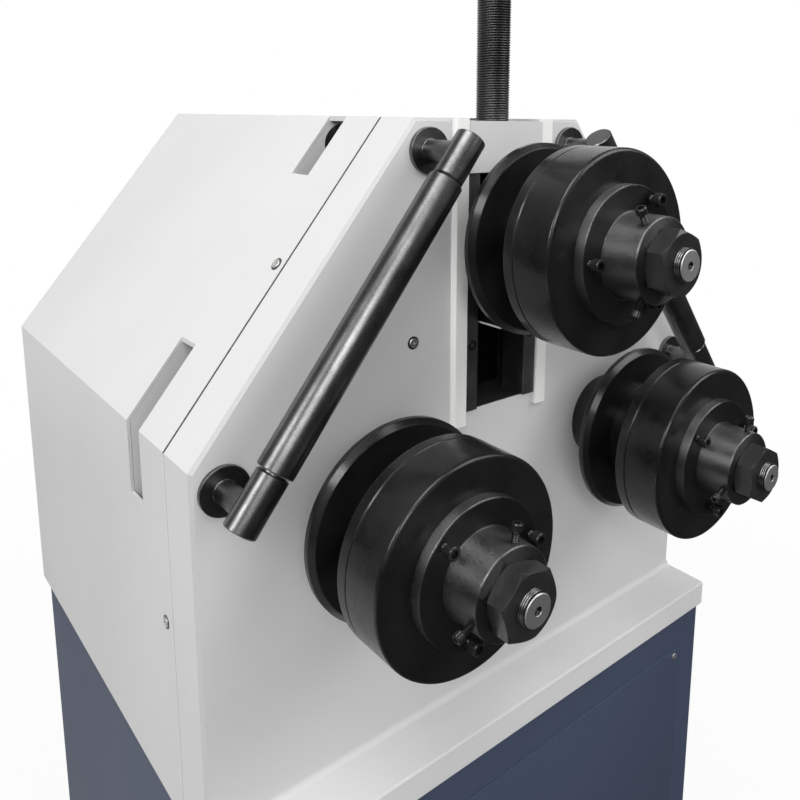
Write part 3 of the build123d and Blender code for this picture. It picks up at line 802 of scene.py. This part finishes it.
class BENDER_OT_front_panel(bpy.types.Operator):
    """Builds the thin access panel on the cabinet's front"""

    bl_idname = "bender.front_panel"
    bl_label = "Cabinet front panel"

    def execute(self, context):
        sizes = context.scene.bender_sizes
        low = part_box("cabinet_body")[0]
        top = TRAY_TOP - sizes.panel_drop
        bottom = low.z + sizes.panel_foot
        bpy.ops.object.select_all(action="DESELECT")
        bpy.ops.mesh.primitive_cube_add(size=1)
        panel = context.object
        panel.name = "cabinet_front_panel"
        bpy.ops.object.mode_set(mode="EDIT")
        bpy.ops.transform.resize(
            value=(2 * sizes.panel_half_width, sizes.panel_thickness, top - bottom), center_override=(0, 0, 0)
        )
        bpy.ops.mesh.select_all(action="DESELECT")
        bpy.ops.mesh.select_mode(type="EDGE")
        bpy.ops.object.mode_set(mode="OBJECT")
        # The four short edges through the sheet become rounded corners
        spots = [vertex.co.copy() for vertex in panel.data.vertices]
        for edge in panel.data.edges:
            first, second = (spots[i] for i in edge.vertices)
            edge.select = abs(first.y - second.y) > sizes.panel_thickness / 2
        bpy.ops.object.mode_set(mode="EDIT")
        bpy.ops.mesh.bevel(offset=sizes.panel_corner, offset_type="OFFSET", segments=5)
        bpy.ops.mesh.select_mode(type="FACE")
        bpy.ops.mesh.select_all(action="DESELECT")
        bpy.ops.object.mode_set(mode="OBJECT")
        for face in panel.data.polygons:
            face.select = face.normal.y < -0.9
        bpy.ops.object.mode_set(mode="EDIT")
        bpy.ops.mesh.bevel(offset=sizes.panel_thickness * 0.45, offset_type="OFFSET", segments=2)
        bpy.ops.mesh.select_all(action="SELECT")
        middle = (0, low.y - sizes.panel_thickness / 2 + 0.05 * MM, (top + bottom) / 2)
        bpy.ops.transform.translate(value=middle)
        close_up(panel)
        finish(panel, bpy.data.materials["slate_blue_satin_enamel"])
        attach(panel, "frame")
        return {"FINISHED"}


class BENDER_OT_button_screws(bpy.types.Operator):
    """Adds the small domed screws of the cover, front plate, cabinet and back panels"""

    bl_idname = "bender.button_screws"
    bl_label = "Cover and panel screws"

    def execute(self, context):
        sizes = context.scene.bender_sizes
        radius, height = sizes.button_radius / MM, sizes.button_height / MM
        side_wall = 0.3
        turns = [radians(9 * i) for i in range(8)]
        dome = [(radius * cos(t), side_wall + (height - side_wall) * sin(t)) for t in turns]
        pattern = lathe("button_screw", [(0, -1), (radius, -1)] + dome + [(0, dome[-1][1])], 24)
        sink_hexagon(pattern, 2.4, 0.2, height)
        close_up(pattern)
        zinc = tuple(context.scene.bender_colours.zinc_steel)
        finish(pattern, drawn_steel("zinc_plated_steel", zinc, 0.45, (1, 1, 1)))
        # A black ring round each cover screw's head: painted shade for the recess that the head sits in
        rim, bore, half = sizes.shade_ring_radius / MM, radius - 1, 0.5
        ring = [(bore, -half), (rim, -half), (rim, 0.3), (rim - 0.2, half), (bore, half)]
        shade_ring = lathe("shade_ring", ring, 32)
        finish(shade_ring, bpy.data.materials["black_oxide_screw"])
        slope = Vector((SHOULDER_RISE, 0, SHOULDER_RUN)).normalized()
        spots = []
        for side in (-1, 1):
            for (across, back, rise), outward, turn in (
                (SLOPE_SCREW, (side * slope.x, 0, slope.z), 0.3),
                (SIDE_SCREW, (side, 0, 0), 0.9),
                (PLATE_SCREW, (0, -1, 0), 0.2),
            ):
                spots.append(aim(place(side * across, back, rise), outward, turn))
        lifted = [spot @ Matrix.Translation((0, 0, 0.3 * MM)) for spot in spots]
        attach(copies(pattern, "cover_screws", lifted), "frame")
        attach(copies(shade_ring, "cover_shade_rings", spots), "frame")
        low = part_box("cabinet_body")[0]
        face = low.y - sizes.panel_thickness
        column = sizes.panel_half_width - FRONT_PANEL_INSET
        top = TRAY_TOP - sizes.panel_drop - FRONT_PANEL_INSET
        bottom = low.z + sizes.panel_foot + FRONT_PANEL_INSET
        spots = [
            aim((side * column, face, z), (0, -1, 0), 0.5)
            for z in (top, (top + bottom) / 2, bottom)
            for side in (-1, 1)
        ]
        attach(copies(pattern, "cabinet_front_screws", spots), "frame")
        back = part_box("housing_back_panel")[1].y
        spots = [
            aim((side * x * MM, back, TRAY_TOP + h * MM), (0, 1, 0), 0.3 * i)
            for i, (x, h) in enumerate(BACK_SCREWS)
            for side in (-1, 1)
        ]
        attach(copies(pattern, "housing_panel_screws", spots), "frame")
        low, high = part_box("cabinet_back_panel")
        column = high.x - BACK_PANEL_INSET
        spots = [
            aim((side * column, high.y, z), (0, 1, 0), 0.4)
            for z in (low.z + BACK_PANEL_INSET, (low.z + high.z) / 2, high.z - BACK_PANEL_INSET)
            for side in (-1, 1)
        ]
        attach(copies(pattern, "cabinet_panel_screws", spots), "frame")
        drop(pattern)
        drop(shade_ring)
        return {"FINISHED"}


def paper_floor(tint):
    """Pale paper with a faint fibre, white to the camera apart from the machine's shadow."""
    paper, tree, shader, coordinates = new_material("pale_floor_paper")
    tone(tree, shader, noise(tree, coordinates, 60.0, 4.0), tint, 0.995, 1.0)
    shader.inputs["Roughness"].default_value = 0.9
    path = add(tree, "ShaderNodeLightPath").outputs
    # To the camera the paper is mostly white by itself, so only the shadow darkens it
    white = add(tree, "ShaderNodeEmission", {"Strength": 1.0}).outputs["Emission"]
    fade = remap(tree, figure_vector(tree, "LENGTH", coordinates), 0.6, 2.2, 0.94, 1.0)
    share = figure(tree, "MULTIPLY", path["Is Camera Ray"], fade)
    shown = add(tree, "ShaderNodeMixShader", {0: share, 1: shader.outputs["BSDF"], 2: white})
    # Metal sees the white floor behind the machine; ahead of it the room is unlit
    ahead = figure_vector(tree, "DOT_PRODUCT", coordinates, UNLIT_WAY)
    unlit = remap(tree, ahead, -0.6, 0.2, 0.0, 1.0, "SMOOTHSTEP")
    hidden = figure(tree, "MULTIPLY", unlit, path["Is Glossy Ray"])
    dark = add(tree, "ShaderNodeEmission", {"Strength": DARK_FLOOR}).outputs["Emission"]
    seen = add(tree, "ShaderNodeMixShader", {0: hidden, 1: shown.outputs["Shader"], 2: dark})
    tree.links.new(seen.outputs["Shader"], tree.nodes["Material Output"].inputs["Surface"])
    return paper


def white_studio():
    """World with even light all round and a white backdrop."""
    world = bpy.data.worlds.new("white_studio")
    world.use_nodes = True
    tree = world.node_tree
    tree.nodes.clear()
    path = add(tree, "ShaderNodeLightPath").outputs
    # The camera sees white, and so do glossy and clear surfaces where the white backdrop stands
    # behind the machine; ahead of it they see a dim room
    way = add(tree, "ShaderNodeTexCoord").outputs["Generated"]
    towards = figure_vector(tree, "DOT_PRODUCT", way, BACKDROP_WAY)
    room = remap(tree, towards, 0.32, 0.9, DIM_ROOM, 1.0, "SMOOTHSTEP")
    bounced = figure(tree, "MAXIMUM", path["Is Glossy Ray"], path["Is Transmission Ray"])
    lit = add(tree, "ShaderNodeMix", {0: bounced, 2: AMBIENT, 3: room}).outputs[0]
    level = add(tree, "ShaderNodeMix", {0: path["Is Camera Ray"], 2: lit, 3: 1.0}).outputs[0]
    sky = add(tree, "ShaderNodeBackground", {"Color": (1, 1, 1, 1), "Strength": level})
    add(tree, "ShaderNodeOutputWorld", {"Surface": sky.outputs["Background"]})
    return world


def softbox(name, direction, distance, size, power):
    """Square lamp that faces the machine from one direction."""
    lamp = bpy.data.lights.new(name, "AREA")
    lamp.shape = "SQUARE"
    lamp.size = size
    lamp.energy = power
    holder = bpy.data.objects.new(name, lamp)
    out = Vector(direction).normalized()
    holder.location = Vector(LIT_POINT) + out * distance
    holder.rotation_euler = out.to_track_quat("Z", "Y").to_euler()
    return holder


def photo_camera():
    """Camera that stands and looks as the photograph's did."""
    ahead = Vector(
        (-sin(CAMERA_YAW) * cos(CAMERA_PITCH), cos(CAMERA_YAW) * cos(CAMERA_PITCH), sin(CAMERA_PITCH))
    )
    level_right = Vector((cos(CAMERA_YAW), sin(CAMERA_YAW), 0))
    level_up = level_right.cross(ahead)
    right = level_right * cos(CAMERA_ROLL) + level_up * sin(CAMERA_ROLL)
    up = level_up * cos(CAMERA_ROLL) - level_right * sin(CAMERA_ROLL)
    camera = bpy.data.cameras.new("photo_camera")
    camera.lens = CAMERA_LENS
    camera.sensor_width = CAMERA_SENSOR
    camera.shift_x, camera.shift_y = CAMERA_SHIFT
    camera.clip_start = CAMERA_NEAR
    viewer = bpy.data.objects.new("photo_camera", camera)
    rotation = Matrix((right, up, -ahead)).transposed().to_4x4()
    viewer.matrix_world = Matrix.Translation(CAMERA_PLACE) @ rotation
    return viewer


class BENDER_OT_studio(bpy.types.Operator):
    """Sets the pale floor, the soft lamps, the white surroundings and the camera"""

    bl_idname = "bender.studio"
    bl_label = "Studio"

    def execute(self, context):
        scene = context.scene
        bpy.ops.object.select_all(action="DESELECT")
        bpy.ops.mesh.primitive_circle_add(
            vertices=96, radius=FLOOR_RADIUS, fill_type="NGON", location=(0, 0, 0)
        )
        floor = context.object
        floor.name = "studio_floor"
        finish(floor, paper_floor(tuple(scene.bender_colours.floor)))
        scene.world = white_studio()
        for row in SOFTBOXES:
            scene.collection.objects.link(softbox(*row))
        scene.camera = photo_camera()
        scene.collection.objects.link(scene.camera)
        scene.view_settings.view_transform = "Standard"
        return {"FINISHED"}


class BENDER_PT_panel(bpy.types.Panel):
    """Lists the steps that dress the machine"""

    bl_idname = "BENDER_PT_panel"
    bl_label = "Profile bending machine"
    bl_space_type = "VIEW_3D"
    bl_region_type = "UI"
    bl_category = "Bender"

    def draw(self, context):
        for step in STEPS:
            self.layout.operator(step.bl_idname)
        for group in (context.scene.bender_colours, context.scene.bender_sizes):
            for name in group.bl_rna.properties.keys():
                if name not in ("rna_type", "name"):
                    self.layout.prop(group, name)


STEPS = (
    BENDER_OT_node_finishes,
    BENDER_OT_clamp_screws,
    BENDER_OT_shaft_threads,
    BENDER_OT_lead_screw,
    BENDER_OT_keeper_screws,
    BENDER_OT_front_panel,
    BENDER_OT_button_screws,
    BENDER_OT_studio,
)
CLASSES = (BenderColours, BenderSizes) + STEPS + (BENDER_PT_panel,)


def register():
    """Registers the classes and the scene's colours and sizes."""
    for cls in CLASSES:
        bpy.utils.register_class(cls)
    bpy.types.Scene.bender_colours = bpy.props.PointerProperty(type=BenderColours)
    bpy.types.Scene.bender_sizes = bpy.props.PointerProperty(type=BenderSizes)


def unregister():
    """Takes the scene's settings and the classes away again."""
    del bpy.types.Scene.bender_sizes
    del bpy.types.Scene.bender_colours
    for cls in reversed(CLASSES):
        bpy.utils.unregister_class(cls)


def main():
    """Runs every step in order."""
    register()
    bpy.ops.bender.node_finishes()
    bpy.ops.bender.clamp_screws()
    bpy.ops.bender.shaft_threads()
    bpy.ops.bender.lead_screw()
    bpy.ops.bender.keeper_screws()
    bpy.ops.bender.front_panel()
    bpy.ops.bender.button_screws()
    bpy.ops.bender.studio()


if __name__ == "__main__":
    main()
